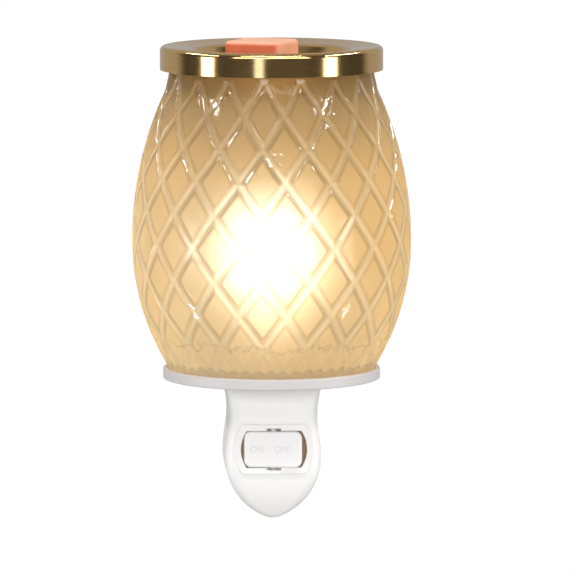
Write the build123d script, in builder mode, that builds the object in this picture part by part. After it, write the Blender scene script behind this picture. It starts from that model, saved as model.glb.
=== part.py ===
from build123d import *
from math import atan2, cos, degrees, hypot, radians, sin, sqrt, tan
import os

# Plug-in wax melt warmer. X points right, Y back to the wall and Z up, in millimetres.
# The origin lies on the wall, in the middle of the plug. Depths are measured out from the wall.

# Glass shade
belly_radius = 50.3
wall_gap = 3.7
foot_to_belly = 47.0
belly_to_rim = 68.26
lower_curve_radius = 86.0
upper_curve_radius = 128.0
neck_length = 13.86
rim_radius = 35.1
glass_wall = 3.0
rim_round_share = 0.43
foot_band = 1.3
rim_band = 8.66
lattice_rows = 9
lattice_columns = 18
lattice_turn = 3.2
groove_width = 4.3
groove_depth = 0.6

# Wax dish and wax
dish_sheet = 1.0
skirt_clearance = 2.5
skirt_overlap = 6.56
dish_seat_gap = 0.3
ledge_slope = 8.2
well_edge_radius = 28.3
well_floor_radius = 20.0
well_depth = 12.2
dish_edge_bend = 1.2
well_edge_bend = 2.2
well_floor_bend = 5.0
wax_side = 21.2
wax_height = 15.4
wax_corner = 2.2
wax_top_edge = 1.6
wax_turn = -24.0
wax_offset = -3.5
wax_gap = 0.3

# Tray
tray_floor = 2.2
tray_lip_height = 1.7
tray_lip = 1.5
lip_clearance = 0.45
tray_edge = 0.5
seal_thickness = 0.4

# Housing
housing_rise = 24.0
front_reach = 16.0
rear_reach = 16.0
housing_wall = 2.0
bulge_half_width = 17.2
bulge_height = -3.4
waist_half_width = 15.8
waist_height = 10.5
shoulder_half_width = 17.9
shoulder_lean_share = 0.3
tip_drop = 26.2
tip_radius = 7.4
chin_height = -6.0
chin_setback = 8.0
front_rounding = 4.4
rear_rounding = 2.4
shelf_thickness = 2.0
barrel_radius = 12.6
barrel_wall = 1.2
barrel_rounding = 1.0

# Screws
screw_radius = 1.35
screw_head_radius = 2.1
screw_head_height = 1.6
screw_clearance = 0.15
boss_radius = 2.4
shell_screw_length = 21.0
upper_screw_spread = 12.7
upper_screw_height = 18.0
lower_screw_height = -22.1
tray_screw_length = 9.5
tray_screw_offset = 12.2
tray_boss_radius = 2.2
driver_slot = 0.6

# Switch
bezel_radius = 14.4
bezel_half_height = 9.0
bezel_plate = 1.0
bezel_edge = 0.4
opening_radius = 11.9
opening_half_height = 6.7
collar_wall = 1.2
collar_depth = 5.0
collar_fit = 0.1
notch_width = 5.1
notch_depth = 0.85
pivot_setback = 2.0
rocker_length = 20.8
rocker_height = 13.0
rocker_corner = 2.6
rocker_rise = 4.2
rocker_cap = 3.0
rocker_edge = 0.9
rocker_tilt = 8.0
hub_width = 8.0
hub_height = 12.4
hub_drop = 2.4
axle_radius = 1.2
axle_reach = 0.7
running_fit = 0.06
plunger_bore_radius = 1.65
plunger_bore_depth = 4.8
plunger_radius = 1.55
plunger_nose_radius = 0.9
nose_round_share = 0.9
plunger_head_height = 1.6
plunger_reach = 5.0
spring_wire_radius = 0.2
spring_turns = 5
case_depth = 7.8
case_floor = 2.0
seesaw_half_length = 7.0
seesaw_width = 5.0
seesaw_sheet = 0.5
seesaw_tilt = 4.0
contact_gap = 0.1
terminal_sheet = 0.7
terminal_width = 4.0
terminal_inset = 5.0
terminal_reach = 8.1
terminal_tail = 4.7

# Lamp holder
socket_radius = 8.5
socket_wall = 1.65
socket_fit = 0.2
socket_rise = 15.4
socket_above_switch = 2.7
socket_floor = 3.4
socket_flange_radius = 9.6
socket_flange = 2.0
flange_gap = 0.1
shell_fit = 0.05
shell_sheet = 0.5
shell_lift = 1.5
shell_below_rim = 0.6
tab_sheet = 0.5
tab_width = 3.0
tab_side = 5.0
tab_rise = 1.8
tail_length = 2.2

# Bulb
cap_radius = 5.9
cap_sheet = 0.35
cap_shoulder_radius = 3.2
cap_shoulder = 2.5
cap_length = 19.5
tip_gap = 0.3
tip_contact_radius = 1.9
tip_height = 1.1
tip_round_share = 0.6
insulator_height = 1.4
bulb_radius = 15.2
bulb_centre_rise = 32.0
bulb_wall = 0.8
bulb_neck_depth = 9.0
neck_fit = 0.1
stem_radius = 2.2
stem_top_radius = 1.5
stem_height = 17.0
lead_radius = 0.3
lead_spread = 1.0
lead_elbow = 3.0
filament_half_width = 6.0
filament_arch = 2.0
filament_radius = 0.25
filament_gap = 0.05
filament_drop = 4.0

# Swivel plug
lip_thickness = 2.6
plug_recess = 0.2
plug_gap = 0.3
plug_shoulder = 0.9
plug_flange_edge = 0.9
plug_flange = 3.1
spigot_share = 0.2256
spigot_length = 6.4
blade_pitch = 12.7
blade_width = 6.35
blade_thickness = 1.5
blade_length = 17.0
blade_hole_radius = 1.6
blade_hole_setback = 5.3
blade_tip_chamfer = 1.3
blade_foot_setback = 0.5
blade_foot_share = 0.93
blade_foot_step = 1.0
ring_sheet = 0.6
inner_ring_share = 0.44
outer_ring_share = 0.79
ring_width_share = 0.187
block_gap = 2.9
block_thickness = 4.0
block_fit = 0.1
snap_gap = 0.1
snap_height = 0.35
snap_width = 0.8
finger_sheet = 0.45
finger_width = 3.0
finger_run = 4.0
finger_bend = 0.4
finger_gap = 0.15
finger_tail = 2.4
finger_hole_gap = 0.3

# Wires
wire_radius = 0.8
wire_bend = 2.0
live_wire_run = 10.1
neutral_wire_run = 8.0
neutral_wire_slope = 8.0
neutral_wire_sag = 2.0
switched_wire_loop = 6.0

# Reach of every cutting tool past the face that it cuts
overrun = 2.0

# Places worked out from the sizes above
axis_depth = belly_radius + wall_gap
front_depth = axis_depth + front_reach
rear_depth = axis_depth - rear_reach
tray_top = housing_rise + tray_floor
foot_height = tray_top + seal_thickness
belly_height = foot_height + foot_to_belly
rim_height = belly_height + belly_to_rim
neck_height = rim_height - neck_length
lattice_foot = foot_height + foot_band
row_pitch = (rim_height - rim_band - lattice_foot) / lattice_rows

lamp_plane = Plane.XZ.offset(axis_depth)
lamp_axis = Axis((0, -axis_depth, 0), (0, 0, 1))


def shade_radius(height):
    """Outer radius of the shade: two arcs that meet at the belly, then a straight neck up to the rim."""
    if height > neck_height:
        share = (height - neck_height) / (rim_height - neck_height)
        return shade_radius(neck_height) * (1 - share) + rim_radius * share
    above = height - belly_height
    curve = upper_curve_radius if above > 0 else lower_curve_radius
    return belly_radius - curve + sqrt(curve**2 - above**2)


def lattice_point(row, column, depth=0):
    """Point on the barrel, counted in rows and in half columns, at a depth below the surface."""
    height = lattice_foot + row * row_pitch
    radius = shade_radius(height) - depth
    angle = radians(lattice_turn + column * 180 / lattice_columns)
    return Vector(radius * sin(angle), -axis_depth - radius * cos(angle), height)


def bore_point(height):
    """Point on the inner wall of the shade, as radius and height."""
    return (shade_radius(height) - glass_wall, height)


# The grooves take this share of the way from a diamond's side to its centre
half_cell = belly_radius * radians(180 / lattice_columns)
groove_share = groove_width / 2 * hypot(half_cell, row_pitch) / (half_cell * row_pitch)


def lattice_facets():
    """Flat facets of the cut glass: each diamond has a raised pad of four and two to each groove slope."""
    facets = []

    def facet(*corners):
        facets.append(Face(Wire.make_polygon(corners, close=True)))

    for row in range(lattice_rows + 1):
        rim = []
        for column in range(2 * lattice_columns):
            if (row + column) % 2 == 0:
                rim.append(lattice_point(row, column, groove_depth))
                continue
            centre = lattice_point(row, column)
            left = lattice_point(row, column - 1, groove_depth)
            right = lattice_point(row, column + 1, groove_depth)
            pad_left = lattice_point(row, column - 1 + groove_share)
            pad_right = lattice_point(row, column + 1 - groove_share)
            rim += [pad_left, centre, pad_right]
            for way in (1, -1):
                if not 0 <= row + way <= lattice_rows:
                    continue
                end = lattice_point(row + way, column, groove_depth)
                pad_end = lattice_point(row + way * (1 - groove_share), column)
                facet(pad_left, centre, pad_end)
                facet(centre, pad_right, pad_end)
                facet(left, pad_left, pad_end)
                facet(left, pad_end, end)
                facet(pad_right, right, pad_end)
                facet(pad_end, right, end)
        if row in (0, lattice_rows):
            facet(*rim)
    return facets


# Glass shade: the faceted barrel with a plain foot and rim, bored out to an even wall
with BuildPart() as glass_shade:
    add(Solid(Shell(lattice_facets())))
    lattice_top = rim_height - rim_band
    rim_foot_radius = shade_radius(lattice_top)
    with BuildSketch(lamp_plane) as shade_ends:
        with BuildLine():
            Polyline((0, lattice_top), (rim_foot_radius, lattice_top), (rim_radius, rim_height),
                     (0, rim_height), close=True)
        make_face()
        with BuildLine():
            Polyline((0, foot_height), (shade_radius(foot_height), foot_height),
                     (shade_radius(lattice_foot) - groove_depth, lattice_foot), (0, lattice_foot), close=True)
        make_face()
    revolve(axis=lamp_axis)
    with BuildSketch(lamp_plane) as shade_bore:
        with BuildLine():
            Polyline(bore_point(foot_height), (0, foot_height), (0, rim_height), bore_point(rim_height),
                     bore_point(neck_height))
            ThreePointArc(bore_point(foot_height), bore_point((foot_height + belly_height) / 2),
                          bore_point(belly_height))
            ThreePointArc(bore_point(belly_height), bore_point((belly_height + neck_height) / 2),
                          bore_point(neck_height))
        make_face()
    revolve(axis=lamp_axis, mode=Mode.SUBTRACT)
    rim_edges = glass_shade.edges().filter_by(GeomType.CIRCLE).group_by(Axis.Z)[-1]
    neck_lean = atan2(shade_radius(neck_height) - rim_radius, neck_length)
    fillet(rim_edges, glass_wall * cos(neck_lean) * rim_round_share)
glass_shade.part.label = "glass_shade"

# Silicone seal between the foot of the glass and the tray
with BuildPart() as shade_seal:
    with BuildSketch(Plane.XY.offset(tray_top)):
        with Locations((0, -axis_depth)):
            Circle(shade_radius(foot_height))
            Circle(shade_radius(foot_height) - glass_wall, mode=Mode.SUBTRACT)
    extrude(amount=seal_thickness)
shade_seal.part.label = "shade_seal"

# Wax dish: one sheet drawn into a skirt, a ledge that rests on the rim, and a well
skirt_foot = rim_height - skirt_overlap
skirt_line = max(shade_radius(skirt_foot), rim_radius) + skirt_clearance + dish_sheet / 2
seat_radius = rim_radius - glass_wall / 2
seat_line = rim_height + dish_seat_gap + dish_sheet / 2
ledge_rise = tan(radians(ledge_slope))
ledge_top = seat_line + (skirt_line - seat_radius) * ledge_rise
ledge_foot = seat_line - (seat_radius - well_edge_radius) * ledge_rise
dish_floor = ledge_foot + dish_sheet / 2 - well_depth
with BuildPart() as wax_dish:
    with BuildSketch(lamp_plane):
        with BuildLine() as dish_line:
            FilletPolyline(
                (skirt_line, skirt_foot), (skirt_line, ledge_top), (well_edge_radius, ledge_foot),
                (well_floor_radius, dish_floor - dish_sheet / 2),
                (0, dish_floor - dish_sheet / 2),
                radius=[dish_edge_bend, well_edge_bend, well_floor_bend])
        trace(line_width=dish_sheet)
    revolve(axis=lamp_axis)
wax_dish.part.label = "wax_dish"

# Wax cube
wax_plane = Plane((wax_offset, -axis_depth, dish_floor + wax_gap)).rotated((0, 0, wax_turn))
with BuildPart() as wax_cube:
    with BuildSketch(wax_plane):
        RectangleRounded(wax_side, wax_side, wax_corner)
    extrude(amount=wax_height)
    fillet(wax_cube.faces().sort_by(Axis.Z)[-1].edges(), wax_top_edge)
wax_cube.part.label = "wax_cube"

# Tray: a disc with a low lip round the foot of the glass
tray_lip_radius = shade_radius(tray_top + tray_lip_height) + lip_clearance
tray_radius = tray_lip_radius + tray_lip
tray_screw_places = [(0, -axis_depth - tray_screw_offset), (0, -axis_depth + tray_screw_offset)]
with BuildPart() as base_tray:
    with BuildSketch(Plane.XY.offset(housing_rise)):
        with Locations((0, -axis_depth)):
            Circle(tray_radius)
    extrude(amount=tray_floor + tray_lip_height)
    fillet(base_tray.edges(), tray_edge)
    with BuildSketch(Plane.XY.offset(tray_top)):
        with Locations((0, -axis_depth)):
            Circle(tray_lip_radius)
    extrude(amount=tray_lip_height, mode=Mode.SUBTRACT)
    with BuildSketch(Plane.XY.offset(housing_rise)):
        with Locations((0, -axis_depth)):
            Circle(socket_radius + socket_fit)
        with Locations(*tray_screw_places):
            Circle(screw_radius + screw_clearance)
    extrude(amount=tray_floor, mode=Mode.SUBTRACT)
base_tray.part.label = "base_tray"

# Tray screws, driven down into both halves of the housing
with BuildPart() as tray_screws:
    with BuildSketch(Plane.XY.offset(tray_top)):
        with Locations(*tray_screw_places):
            Circle(screw_head_radius)
    extrude(amount=screw_head_height)
    chamfer(tray_screws.faces().group_by(Axis.Z)[-1].edges(), screw_head_height / 3)
    with BuildSketch(Plane.XY.offset(tray_top + screw_head_height)):
        with Locations(*tray_screw_places):
            Rectangle(screw_head_radius, driver_slot)
            Rectangle(driver_slot, screw_head_radius)
    extrude(amount=-screw_head_height / 2, mode=Mode.SUBTRACT)
    with BuildSketch(Plane.XY.offset(tray_top)):
        with Locations(*tray_screw_places):
            Circle(screw_radius)
    extrude(amount=-tray_screw_length)
tray_screws.part.label = "tray_screws"

# Teardrop outline of the housing, seen from the front: a flared neck over a bulge that runs to a round tip
tip_rise = bulge_height + tip_drop - tip_radius
flank_radius = (bulge_half_width**2 + tip_rise**2 - tip_radius**2) / (2 * (bulge_half_width - tip_radius))
flank_angle = degrees(atan2(tip_rise, flank_radius - bulge_half_width))


def teardrop(inset):
    """Front outline of the housing, or of its hollow at a depth inside it."""
    with BuildSketch(lamp_plane) as outline:
        with BuildLine():
            CenterArc((bulge_half_width - flank_radius, bulge_height), flank_radius - inset, 0, -flank_angle)
            CenterArc((0, tip_radius - tip_drop), tip_radius - inset, -flank_angle, flank_angle - 90)
            Spline((bulge_half_width - inset, bulge_height), (waist_half_width - inset, waist_height),
                   (shoulder_half_width - inset, housing_rise - inset),
                   tangents=[(0, 1), (shoulder_lean_share, 1)])
            Line((shoulder_half_width - inset, housing_rise - inset), (0, housing_rise - inset))
            mirror(about=Plane.YZ)
        make_face()
    return outline.sketch


def chin_section(inset):
    """Area in front of the housing, from the side: its front is flat down to the chin and then falls back."""
    drop = chin_height + tip_drop
    chin_radius = (drop**2 + chin_setback**2) / (2 * chin_setback)
    angle = degrees(atan2(drop, chin_radius - chin_setback))
    face = inset - front_depth
    with BuildSketch(Plane.YZ) as section:
        with BuildLine():
            arc = CenterArc((face + chin_radius, chin_height), chin_radius, 180, angle)
            end = arc @ 1
            Polyline(end, (end.X, end.Y - overrun), (face - overrun, end.Y - overrun),
                     (face - overrun, chin_height), (face, chin_height))
        make_face()
    return section.sketch


screw_places = [(-upper_screw_spread, upper_screw_height), (upper_screw_spread, upper_screw_height),
                (0, lower_screw_height)]
switch_half_height = opening_half_height + collar_wall
shelf_top = housing_rise - housing_wall - socket_flange - 2 * flange_gap

# Hollow of the front half, less the shelf under the lamp holder and the screw bosses
with BuildPart() as front_hollow:
    extrude(teardrop(housing_wall), amount=front_reach - housing_wall)
    extrude(chin_section(housing_wall), amount=bulge_half_width, both=True, mode=Mode.SUBTRACT)
    with BuildSketch(Plane.XY.offset(shelf_top)):
        with Locations((0, -axis_depth)):
            Rectangle(2 * shoulder_half_width, 2 * front_reach)
    extrude(amount=-shelf_thickness, mode=Mode.SUBTRACT)
    with BuildSketch(lamp_plane):
        with Locations(*screw_places):
            Circle(boss_radius)
    extrude(amount=front_reach, mode=Mode.SUBTRACT)
    with BuildSketch(Plane.XY.offset(housing_rise)):
        with Locations(tray_screw_places[0]):
            Circle(tray_boss_radius)
    extrude(amount=shelf_top - housing_rise, mode=Mode.SUBTRACT)

# Front half of the housing, with the window for the switch
with BuildPart() as front_shell:
    extrude(teardrop(0), amount=front_reach)
    extrude(chin_section(0), amount=bulge_half_width, both=True, mode=Mode.SUBTRACT)
    front_edges = front_shell.edges().filter_by(
        lambda edge: edge.geom_type != GeomType.LINE and edge.center().Y < -axis_depth - overrun)
    fillet(front_edges, front_rounding)
    add(front_hollow.part, mode=Mode.SUBTRACT)
    with BuildSketch(lamp_plane):
        Circle(opening_radius + collar_wall + collar_fit)
        Rectangle(2 * bezel_radius, 2 * (switch_half_height + collar_fit), mode=Mode.INTERSECT)
    extrude(amount=front_reach, mode=Mode.SUBTRACT)
    with BuildSketch(lamp_plane):
        with Locations(*screw_places):
            Circle(screw_radius + screw_clearance / 2)
    extrude(amount=shell_screw_length - rear_reach, mode=Mode.SUBTRACT)
    with BuildSketch(Plane.XY.offset(housing_rise)):
        with Locations((0, -axis_depth)):
            Circle(socket_radius + socket_fit)
        with Locations(tray_screw_places[0]):
            Circle(screw_radius + screw_clearance)
    extrude(amount=shelf_top - shelf_thickness - housing_rise, mode=Mode.SUBTRACT)
front_shell.part.label = "front_shell"

# The barrel's bore gives the swivel plug its radii, and the plug gives its contact rings theirs
barrel_bore = barrel_radius - barrel_wall
plug_flange_radius = barrel_bore - plug_shoulder
plug_boss_radius = plug_flange_radius - plug_flange_edge
inner_ring_radius = plug_boss_radius * inner_ring_share
outer_ring_radius = plug_boss_radius * outer_ring_share
ring_width = plug_boss_radius * ring_width_share
spigot_radius = plug_boss_radius * spigot_share
blade_foot_reach = plug_boss_radius * blade_foot_share

# Hollow of the back half
with BuildPart() as rear_hollow:
    extrude(teardrop(housing_wall), amount=housing_wall - rear_reach)
    with BuildSketch(Plane.XY.offset(shelf_top)):
        with Locations((0, -axis_depth)):
            Rectangle(2 * shoulder_half_width, 2 * rear_reach)
    extrude(amount=-shelf_thickness, mode=Mode.SUBTRACT)
    with BuildSketch(lamp_plane):
        with Locations(*screw_places):
            Circle(boss_radius)
    extrude(amount=-rear_reach, mode=Mode.SUBTRACT)
    with BuildSketch(Plane.XY.offset(housing_rise)):
        with Locations(tray_screw_places[1]):
            Circle(tray_boss_radius)
    extrude(amount=shelf_top - housing_rise, mode=Mode.SUBTRACT)

# Swivel chamber, from the wall inwards: the lip, the plug's flange, the shoulder and the contact block
flange_back = lip_thickness + plug_gap
flange_front = flange_back + plug_flange
block_back = flange_front + ring_sheet + block_gap
block_front = block_back + block_thickness
with BuildPart() as rear_shell:
    extrude(teardrop(0), amount=-rear_reach)
    rear_edges = rear_shell.edges().filter_by(
        lambda edge: edge.geom_type != GeomType.LINE and edge.center().Y > -rear_depth - overrun)
    fillet(rear_edges, rear_rounding)
    with BuildSketch(Plane.XZ):
        Circle(barrel_radius)
    extrude(amount=rear_depth + rear_rounding)
    fillet(rear_shell.faces().sort_by(Axis.Y)[-1].edges(), barrel_rounding)
    add(rear_hollow.part, mode=Mode.SUBTRACT)
    with BuildSketch(Plane.XZ):
        Circle(plug_boss_radius + plug_gap)
    extrude(amount=lip_thickness, mode=Mode.SUBTRACT)
    with BuildSketch(Plane.XZ.offset(lip_thickness)):
        Circle(plug_flange_radius + plug_gap)
    extrude(amount=block_back - lip_thickness, mode=Mode.SUBTRACT)
    with BuildSketch(Plane.XZ.offset(block_back)):
        Circle(barrel_bore)
    extrude(amount=block_thickness + snap_gap, mode=Mode.SUBTRACT)
    with BuildSketch(Plane.XZ.offset(block_front + snap_gap)):
        Circle(barrel_bore - snap_height)
    extrude(amount=snap_width, mode=Mode.SUBTRACT)
    with BuildSketch(Plane.XZ.offset(block_front + snap_gap + snap_width)):
        Circle(barrel_bore)
        with Locations((0, lower_screw_height)):
            Circle(boss_radius, mode=Mode.SUBTRACT)
    extrude(amount=rear_depth + housing_wall - block_front - snap_gap - snap_width, mode=Mode.SUBTRACT)
    with BuildSketch(Plane.XZ.offset(rear_depth)):
        with Locations(*screw_places):
            Circle(screw_radius + screw_clearance)
    extrude(amount=rear_reach, mode=Mode.SUBTRACT)
    with BuildSketch(Plane.XZ.offset(rear_depth + screw_head_height)):
        with Locations(*screw_places):
            Circle(screw_head_radius + screw_clearance)
    extrude(amount=-screw_head_height - overrun, mode=Mode.SUBTRACT)
    with BuildSketch(Plane.XY.offset(housing_rise)):
        with Locations((0, -axis_depth)):
            Circle(socket_radius + socket_fit)
        with Locations(tray_screw_places[1]):
            Circle(screw_radius + screw_clearance)
    extrude(amount=shelf_top - shelf_thickness - housing_rise, mode=Mode.SUBTRACT)
rear_shell.part.label = "rear_shell"

# Housing screws, driven from behind through the back half into the front half
with BuildPart() as shell_screws:
    with BuildSketch(Plane.XZ.offset(rear_depth)):
        with Locations(*screw_places):
            Circle(screw_head_radius)
    extrude(amount=screw_head_height)
    with BuildSketch(Plane.XZ.offset(rear_depth)):
        with Locations(*screw_places):
            Rectangle(screw_head_radius, driver_slot)
            Rectangle(driver_slot, screw_head_radius)
    extrude(amount=screw_head_height / 2, mode=Mode.SUBTRACT)
    with BuildSketch(Plane.XZ.offset(rear_depth + screw_head_height)):
        with Locations(*screw_places):
            Circle(screw_radius)
    extrude(amount=shell_screw_length - screw_head_height)
shell_screws.part.label = "shell_screws"

# Switch bezel: a raised frame with flats above and below, and a collar that reaches through the housing
collar_back = front_depth - collar_depth
pivot_depth = front_depth - pivot_setback
with BuildPart() as switch_bezel:
    with BuildSketch(Plane.XZ.offset(front_depth)):
        Circle(bezel_radius)
        Rectangle(2 * bezel_radius, 2 * bezel_half_height, mode=Mode.INTERSECT)
    extrude(amount=bezel_plate)
    fillet(switch_bezel.faces().sort_by(Axis.Y)[0].edges(), bezel_edge)
    with BuildSketch(Plane.XZ.offset(collar_back)):
        Circle(opening_radius + collar_wall)
        Rectangle(2 * bezel_radius, 2 * switch_half_height, mode=Mode.INTERSECT)
    extrude(amount=collar_depth)
    with BuildSketch(Plane.XZ.offset(collar_back)):
        Circle(opening_radius)
        Rectangle(2 * bezel_radius, 2 * opening_half_height, mode=Mode.INTERSECT)
    extrude(amount=collar_depth + bezel_plate, mode=Mode.SUBTRACT)
    with BuildSketch(Plane.XZ.offset(pivot_depth)):
        Rectangle(notch_width, 2 * (opening_half_height + notch_depth))
    extrude(amount=pivot_setback + bezel_plate, mode=Mode.SUBTRACT)
    with BuildSketch(Plane.XY.offset(-opening_half_height - notch_depth)):
        with Locations((0, -pivot_depth)):
            Circle(axle_radius + running_fit)
    extrude(amount=2 * (opening_half_height + notch_depth), mode=Mode.SUBTRACT)
switch_bezel.part.label = "switch_bezel"

# Rocker, tilted to its on position: cap, hub with the plunger's bore, and axle
rocker_plane = Plane.XZ.offset(pivot_depth).rotated((0, 0, -rocker_tilt))
axle_plane = Plane(rocker_plane.origin, x_dir=rocker_plane.x_dir, z_dir=rocker_plane.y_dir)
with BuildPart() as switch_rocker:
    with BuildSketch(rocker_plane.offset(rocker_rise)):
        RectangleRounded(rocker_length, rocker_height, rocker_corner)
    cap_block = extrude(amount=-rocker_cap)
    fillet(cap_block.faces().sort_by(Axis.Y)[0].edges(), rocker_edge)
    with BuildSketch(rocker_plane.offset(-hub_drop)):
        Rectangle(hub_width, hub_height)
    extrude(amount=hub_drop + rocker_rise - rocker_cap)
    with BuildSketch(axle_plane):
        Circle(axle_radius)
    extrude(amount=opening_half_height + axle_reach, both=True)
    with BuildSketch(rocker_plane.offset(-hub_drop)):
        Circle(plunger_bore_radius)
    extrude(amount=plunger_bore_depth, mode=Mode.SUBTRACT)
switch_rocker.part.label = "switch_rocker"

# Plunger in the rocker, with a round nose that rides on the see-saw contact
with BuildPart() as switch_plunger:
    with BuildSketch(rocker_plane.offset(-hub_drop)):
        Circle(plunger_radius)
    extrude(amount=plunger_head_height)
    with BuildSketch(rocker_plane.offset(-plunger_reach)):
        Circle(plunger_nose_radius)
    extrude(amount=plunger_reach - hub_drop)
    nose_edge = switch_plunger.edges().filter_by(GeomType.CIRCLE).sort_by(Axis.Y)[-1]
    fillet(nose_edge, plunger_nose_radius * nose_round_share)
switch_plunger.part.label = "switch_plunger"

# Spring between the plunger and the end of its bore: one open coil of round wire
spring_foot = plunger_head_height - hub_drop
spring_length = plunger_bore_depth - plunger_head_height
spring_radius = plunger_radius - 2 * spring_wire_radius
coil_height = spring_length - 2 * spring_wire_radius
with BuildPart() as switch_spring:
    with BuildLine() as coil:
        Helix(coil_height / spring_turns, coil_height, spring_radius,
              center=rocker_plane.offset(spring_foot + spring_wire_radius).origin,
              direction=rocker_plane.z_dir)
    with BuildSketch(Plane(coil.line @ 0, z_dir=coil.line % 0)):
        Circle(spring_wire_radius)
    sweep(path=coil.line, is_frenet=True)
switch_spring.part.label = "switch_spring"

# See-saw contact, tipped onto the load terminal
seesaw_depth = pivot_depth - plunger_reach - contact_gap - seesaw_sheet
seesaw_plane = Plane.XZ.offset(seesaw_depth).rotated((0, 0, seesaw_tilt))
with BuildPart() as switch_seesaw:
    with BuildSketch(seesaw_plane):
        RectangleRounded(2 * seesaw_half_length, seesaw_width, seesaw_sheet)
    extrude(amount=seesaw_sheet)
switch_seesaw.part.label = "switch_seesaw"

# Terminals: a post under the middle of the see-saw, and a bent strip under its right end
pad_depth = seesaw_depth - seesaw_half_length * sin(radians(seesaw_tilt)) - contact_gap
case_back = collar_back - case_depth
tail_depth = case_back - terminal_tail
with BuildPart() as switch_terminal_line:
    with BuildSketch(Plane.XZ.offset(tail_depth)):
        Rectangle(terminal_sheet, terminal_width)
    extrude(amount=seesaw_depth - contact_gap / 2 - tail_depth)
switch_terminal_line.part.label = "switch_terminal_line"
with BuildPart() as switch_terminal_load:
    with BuildSketch(Plane.XY):
        with BuildLine():
            Polyline((terminal_inset, terminal_sheet / 2 - pad_depth),
                     (terminal_reach, terminal_sheet / 2 - pad_depth), (terminal_reach, -tail_depth))
        trace(line_width=terminal_sheet)
    extrude(amount=terminal_width / 2, both=True)
switch_terminal_load.part.label = "switch_terminal_load"

# Switch case: a cup of the collar's outline, slotted for the terminals, with a stop for the see-saw
with BuildPart() as switch_case:
    with BuildSketch(Plane.XZ.offset(case_back)):
        Circle(opening_radius + collar_wall)
        Rectangle(2 * bezel_radius, 2 * switch_half_height, mode=Mode.INTERSECT)
    extrude(amount=case_depth)
    with BuildSketch(Plane.XZ.offset(case_back + case_floor)):
        Circle(opening_radius)
        Rectangle(2 * bezel_radius, 2 * opening_half_height, mode=Mode.INTERSECT)
    extrude(amount=case_depth - case_floor, mode=Mode.SUBTRACT)
    with BuildSketch(Plane.XZ.offset(case_back)):
        with Locations((-(terminal_inset + terminal_reach) / 2, 0)):
            Rectangle(terminal_reach - terminal_inset, terminal_width)
    extrude(amount=pad_depth - case_back)
    add(switch_terminal_line.part, mode=Mode.SUBTRACT)
    add(switch_terminal_load.part, mode=Mode.SUBTRACT)
switch_case.part.label = "switch_case"

# Lamp holder, hung by its flange between the top wall and the shelf
socket_foot = switch_half_height + socket_above_switch
socket_top = tray_top + socket_rise
socket_bore = socket_radius - socket_wall
holder_floor = socket_foot + socket_floor
flange_top = housing_rise - housing_wall - flange_gap

# Centre tab: a strip on the holder's floor that springs up under the bulb
with BuildPart() as socket_centre_tab:
    with BuildSketch(lamp_plane):
        with BuildLine():
            Polyline((-tab_width / 2, holder_floor + tab_rise), (tab_width / 2, holder_floor + tab_rise),
                     (tab_side, holder_floor + tab_sheet / 2), (tab_side, socket_foot - tail_length))
        trace(line_width=tab_sheet)
    extrude(amount=tab_width / 2, both=True)
socket_centre_tab.part.label = "socket_centre_tab"

# Screw shell: a brass tube with a tail down through the holder's floor
shell_radius = socket_bore - shell_fit
shell_foot = holder_floor + shell_lift
with BuildPart() as socket_screw_shell:
    with BuildSketch(Plane.XY.offset(shell_foot)):
        with Locations((0, -axis_depth)):
            Circle(shell_radius)
            Circle(shell_radius - shell_sheet, mode=Mode.SUBTRACT)
    extrude(amount=socket_top - shell_below_rim - shell_foot)
    with BuildSketch(Plane.XY.offset(socket_foot - tail_length)):
        with Locations((-shell_radius + shell_sheet, -axis_depth)):
            Rectangle(shell_sheet, tab_width)
    extrude(amount=shell_foot - socket_foot + tail_length + shell_sheet)
socket_screw_shell.part.label = "socket_screw_shell"

with BuildPart() as socket_body:
    with BuildSketch(Plane.XY.offset(socket_foot)):
        with Locations((0, -axis_depth)):
            Circle(socket_radius)
    extrude(amount=socket_top - socket_foot)
    fillet(socket_body.edges().group_by(Axis.Z)[-1], socket_wall / 3)
    with BuildSketch(Plane.XY.offset(flange_top)):
        with Locations((0, -axis_depth)):
            Circle(socket_flange_radius)
    extrude(amount=-socket_flange)
    with BuildSketch(Plane.XY.offset(holder_floor)):
        with Locations((0, -axis_depth)):
            Circle(socket_bore)
    extrude(amount=socket_top - holder_floor, mode=Mode.SUBTRACT)
    add(socket_centre_tab.part, mode=Mode.SUBTRACT)
    add(socket_screw_shell.part, mode=Mode.SUBTRACT)
socket_body.part.label = "socket_body"

# Bulb, from its tip up
tip_foot = holder_floor + tab_rise + tab_sheet / 2 + tip_gap
insulator_foot = tip_foot + tip_height
cap_foot = insulator_foot + insulator_height
cap_top = cap_foot + cap_length
neck_radius = cap_radius - cap_sheet - neck_fit
neck_foot = cap_top - bulb_neck_depth
bulb_centre = cap_top + bulb_centre_rise
with BuildPart() as bulb_tip_contact:
    with BuildSketch(Plane.XY.offset(tip_foot)):
        with Locations((0, -axis_depth)):
            Circle(tip_contact_radius)
    extrude(amount=tip_height)
    fillet(bulb_tip_contact.edges().group_by(Axis.Z)[0], tip_height * tip_round_share)
bulb_tip_contact.part.label = "bulb_tip_contact"

with BuildPart() as bulb_insulator:
    with BuildSketch(Plane.XY.offset(insulator_foot)):
        with Locations((0, -axis_depth)):
            Circle(tip_contact_radius + cap_sheet)
    with BuildSketch(Plane.XY.offset(cap_foot)):
        with Locations((0, -axis_depth)):
            Circle(cap_shoulder_radius + cap_sheet / 2)
    loft()
bulb_insulator.part.label = "bulb_insulator"

with BuildPart() as bulb_cap:
    with BuildSketch(lamp_plane):
        with BuildLine():
            Polyline((cap_radius - cap_sheet / 2, cap_top),
                     (cap_radius - cap_sheet / 2, cap_foot + cap_shoulder),
                     (cap_shoulder_radius, cap_foot + cap_sheet / 2), (0, cap_foot + cap_sheet / 2))
        trace(line_width=cap_sheet)
    revolve(axis=lamp_axis)
bulb_cap.part.label = "bulb_cap"


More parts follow.
